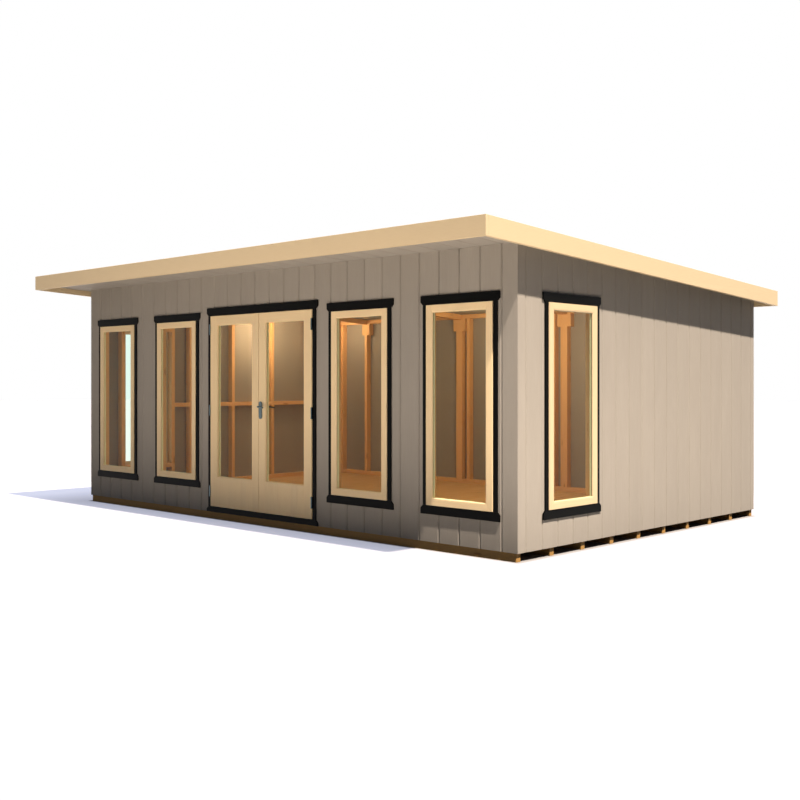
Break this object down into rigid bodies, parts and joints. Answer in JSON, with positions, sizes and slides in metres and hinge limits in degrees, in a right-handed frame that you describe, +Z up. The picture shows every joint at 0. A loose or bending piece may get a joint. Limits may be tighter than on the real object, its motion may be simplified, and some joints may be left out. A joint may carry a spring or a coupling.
{
  "type": "garden room",
  "caption": "Timber garden room with a single-slope roof, deep front eaves, boarded walls, tall fixed windows and glazed double doors that open outwards.",
  "frame": {"origin": "on the ground, under the middle of the roof's outline", "axes": "+X to the right along the front wall, +Y from the front to the back, +Z up"},
  "size_m": [6.068, 4.506, 2.4093],
  "materials": {
    "wall_boards": "painted taupe",
    "fascia_timber": "natural planed softwood",
    "joinery_timber": "natural planed softwood",
    "black_trim": "painted black",
    "frame_timber": "sawn softwood",
    "floor_timber": "planed softwood",
    "bearer_timber": "sawn softwood",
    "glass": "clear",
    "steel": "satin",
    "roof_membrane": "matt membrane"
  },
  "bodies": {
    "cabin": {"floor_bearers": "bearer_timber", "floor_boards": "floor_timber", "front_wall_left": "wall_boards", "front_wall_over_door": "wall_boards", "front_wall_right": "wall_boards", "left_wall": "wall_boards", "right_wall": "wall_boards", "back_wall": "wall_boards", "front_studs": "frame_timber", "front_rails": "frame_timber", "door_lintel": "frame_timber", "left_studs": "frame_timber", "left_rails": "frame_timber", "right_studs": "frame_timber", "right_rails": "frame_timber", "back_studs": "frame_timber", "back_rails": "frame_timber", "beam_posts": "frame_timber", "roof_beams": "frame_timber", "roof_boards": "wall_boards", "roof_covering": "roof_membrane", "fascia_front": "fascia_timber", "fascia_back": "fascia_timber", "fascia_left": "fascia_timber", "fascia_right": "fascia_timber", "front_window_frames": "joinery_timber", "left_window_frame": "joinery_timber", "right_window_frame": "joinery_timber", "window_glass": "glass", "front_window_trims": "black_trim", "left_window_trims": "black_trim", "right_window_trims": "black_trim", "door_lining": "joinery_timber", "door_sill": "joinery_timber", "door_trims": "black_trim", "door_threshold": "black_trim", "jamb_hinges": "steel"},
    "left_door": {"left_door_leaf": "joinery_timber", "left_door_glass": "glass", "left_leaf_hinges": "steel"},
    "right_door": {"right_door_leaf": "joinery_timber", "right_door_glass": "glass", "right_leaf_hinges": "steel", "handle_plates": "steel"},
    "lever": {"door_lever": "steel"}
  },
  "joints": [
    {"name": "left_door_swing", "type": "hinge", "parent": "cabin", "child": "left_door", "pos_m": [-0.7115, -1.7075, 1], "axis": [0, 0, -1], "range_deg": [0, 105]},
    {"name": "right_door_swing", "type": "hinge", "parent": "cabin", "child": "right_door", "pos_m": [0.7115, -1.7075, 1], "axis": [0, 0, 1], "range_deg": [0, 105]},
    {"name": "lever_turn", "type": "hinge", "parent": "right_door", "child": "lever", "pos_m": [0.033, -1.679, 1.07], "axis": [0, 1, 0], "range_deg": [0, 35], "stiffness_Nm_per_rad": 1, "springref_deg": -22.92}
  ]
}
